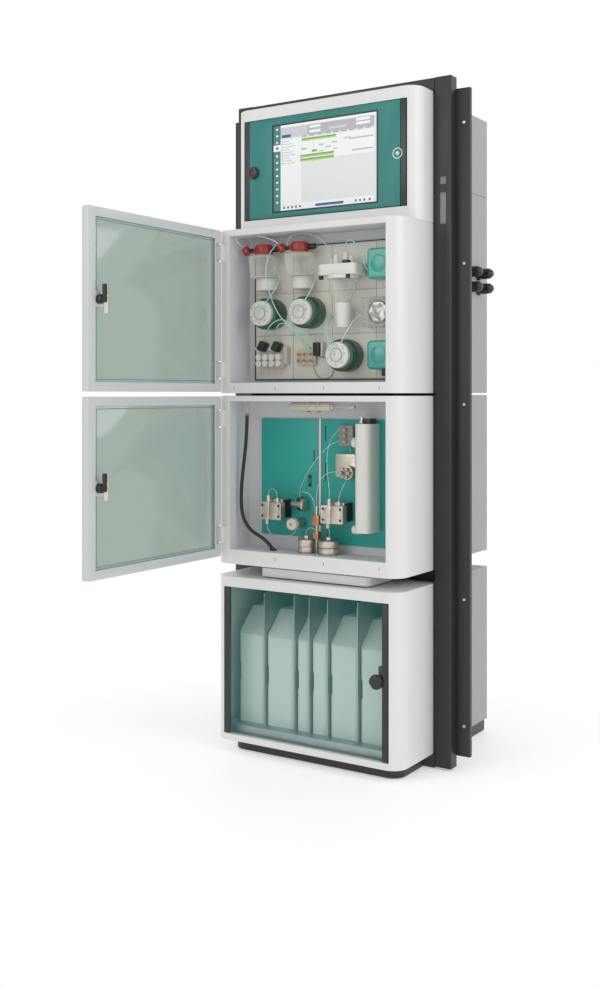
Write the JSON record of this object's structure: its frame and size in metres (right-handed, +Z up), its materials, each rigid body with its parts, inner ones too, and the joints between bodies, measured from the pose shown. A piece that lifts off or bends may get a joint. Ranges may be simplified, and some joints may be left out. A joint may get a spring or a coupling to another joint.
{
  "type": "ion chromatography analyzer",
  "caption": "Floor-standing ion chromatography analyzer: touch-screen cabinet above, wet-part cabinets with open hinged glass doors, reagent cabinet below, on a dark steel frame.",
  "frame": {"origin": "on the floor, under the middle of the overall box with the wet-part doors open", "axes": "+Z up, +X to the right seen from the front, +Y towards the back"},
  "size_m": [0.786, 1.21, 1.916],
  "materials": {
    "housing_paint": "fine satin powder coat, pale warm grey",
    "interior_paint": "satin grey paint",
    "frame_paint": "fine textured anthracite powder coat",
    "plate_steel": "galvanised sheet, matt",
    "rear_paint": "satin mid-grey powder coat",
    "foot_plastic": "black moulded pads",
    "dark_profile": "dark anodised profile",
    "teal_panel": "satin teal coat",
    "screen": "glossy touch screen",
    "beige_board": "laminated board with fine dark seams",
    "door_glass": "pale frosted safety glass",
    "reagent_glass": "teal tinted glass",
    "clear_glass": "clear borosilicate glass",
    "canister_plastic": "translucent natural polyethylene",
    "cap_plastic": "ribbed closure plastic",
    "red_plastic": "red moulded screw caps",
    "white_plastic": "off-white moulded plastic",
    "beige_plastic": "beige moulded plastic",
    "green_plastic": "dark green moulded housing",
    "teal_plastic": "translucent teal cover",
    "clear_plastic": "clear acrylic cassette",
    "roller_metal": "polished rollers",
    "machined_steel": "turned and milled stainless steel",
    "black_plastic": "black moulded plastic",
    "grey_plastic": "grey moulded plastic",
    "white_metal": "white hinge enamel",
    "teal_tube": "translucent fluoropolymer tube",
    "steel_capillary": "drawn capillary",
    "hose_rubber": "matt black rubber"
  },
  "bodies": {
    "root": {"upper_wet_housing": "housing_paint", "lower_wet_housing": "housing_paint", "reagent_housing": "housing_paint", "display_housing": "housing_paint", "drip_tray": "housing_paint", "upper_liner": "interior_paint", "lower_liner": "interior_paint", "left_column": "frame_paint", "right_column": "frame_paint", "top_crossbar": "frame_paint", "plinth": "frame_paint", "back_plate": "plate_steel", "electronics_plate": "plate_steel", "canister_rack": "plate_steel", "rear_enclosures": "rear_paint", "levelling_feet": "foot_plastic", "lower_panels": "teal_panel", "upper_panel": "beige_board", "vessel_glass": "clear_glass", "cell_glass": "clear_glass", "canisters": "canister_plastic", "canister_caps": "cap_plastic", "vessel_caps": "red_plastic", "vessel_holders": "white_plastic", "dosing_heads": "white_plastic", "cell_lid": "white_plastic", "column_holder": "white_plastic", "valve_blocks": "beige_plastic", "guard_cartridge": "beige_plastic", "dosing_drives": "green_plastic", "pump_boxes": "teal_plastic", "roller_pump_body": "clear_plastic", "pump_heads": "machined_steel", "pulsation_dampers": "machined_steel", "injection_valve": "machined_steel", "pressure_sensor": "machined_steel", "solenoid_valves": "black_plastic", "cable_glands": "black_plastic", "power_supply": "grey_plastic", "controller": "grey_plastic", "terminal_blocks": "grey_plastic", "door_hinges": "white_metal", "upper_tubing": "teal_tube", "capillaries": "steel_capillary", "waste_hose": "hose_rubber"},
    "display_door": {"display_door_profiles": "dark_profile", "display_door_panel": "teal_panel", "touch_screen": "screen"},
    "display_lock": {"display_lock": "black_plastic"},
    "upper_door": {"upper_door_frame": "housing_paint", "upper_door_glass": "door_glass"},
    "upper_latch": {"upper_door_latch": "black_plastic"},
    "middle_door": {"middle_door_frame": "housing_paint", "middle_door_glass": "door_glass"},
    "middle_latch": {"middle_door_latch": "black_plastic"},
    "reagent_door": {"reagent_door_profiles": "dark_profile", "reagent_door_glass": "reagent_glass"},
    "reagent_lock": {"reagent_lock": "black_plastic"},
    "pump_rotor": {"roller_pump_rotor": "roller_metal"},
    "purge_knob": {"purge_knob": "machined_steel"}
  },
  "joints": [
    {"name": "display_door_hinge", "type": "hinge", "parent": "root", "child": "display_door", "pos_m": [0.258, 0.084, 1.7], "axis": [0, 0, 1], "range_deg": [0, 110]},
    {"name": "display_lock_turn", "type": "hinge", "parent": "display_door", "child": "display_lock", "pos_m": [-0.233, 0.083, 1.691], "axis": [0, -1, 0], "range_deg": [0, 90]},
    {"name": "upper_door_hinge", "type": "hinge", "parent": "root", "child": "upper_door", "pos_m": [-0.281, -0.039, 1.278], "axis": [0, 0, 1], "range_deg": [-30, 90]},
    {"name": "upper_latch_turn", "type": "hinge", "parent": "upper_door", "child": "upper_latch", "pos_m": [-0.28, -0.565, 1.278], "axis": [1, 0, 0], "range_deg": [0, 90]},
    {"name": "middle_door_hinge", "type": "hinge", "parent": "root", "child": "middle_door", "pos_m": [-0.281, -0.039, 0.801], "axis": [0, 0, 1], "range_deg": [-30, 90]},
    {"name": "middle_latch_turn", "type": "hinge", "parent": "middle_door", "child": "middle_latch", "pos_m": [-0.28, -0.565, 0.801], "axis": [1, 0, 0], "range_deg": [0, 90]},
    {"name": "reagent_door_hinge", "type": "hinge", "parent": "root", "child": "reagent_door", "pos_m": [-0.258, -0.02, 0.27], "axis": [0, 0, -1], "range_deg": [0, 110]},
    {"name": "reagent_lock_turn", "type": "hinge", "parent": "reagent_door", "child": "reagent_lock", "pos_m": [0.231, -0.021, 0.272], "axis": [0, 1, 0], "range_deg": [0, 90]},
    {"name": "roller_pump_spin", "type": "hinge", "parent": "root", "child": "pump_rotor", "pos_m": [0.203, 0.048, 1.262], "axis": [0, 1, 0], "continuous": true},
    {"name": "purge_knob_turn", "type": "hinge", "parent": "root", "child": "purge_knob", "pos_m": [-0.062, 0.033, 0.67], "axis": [0, 1, 0], "range_deg": [0, 180]}
  ]
}
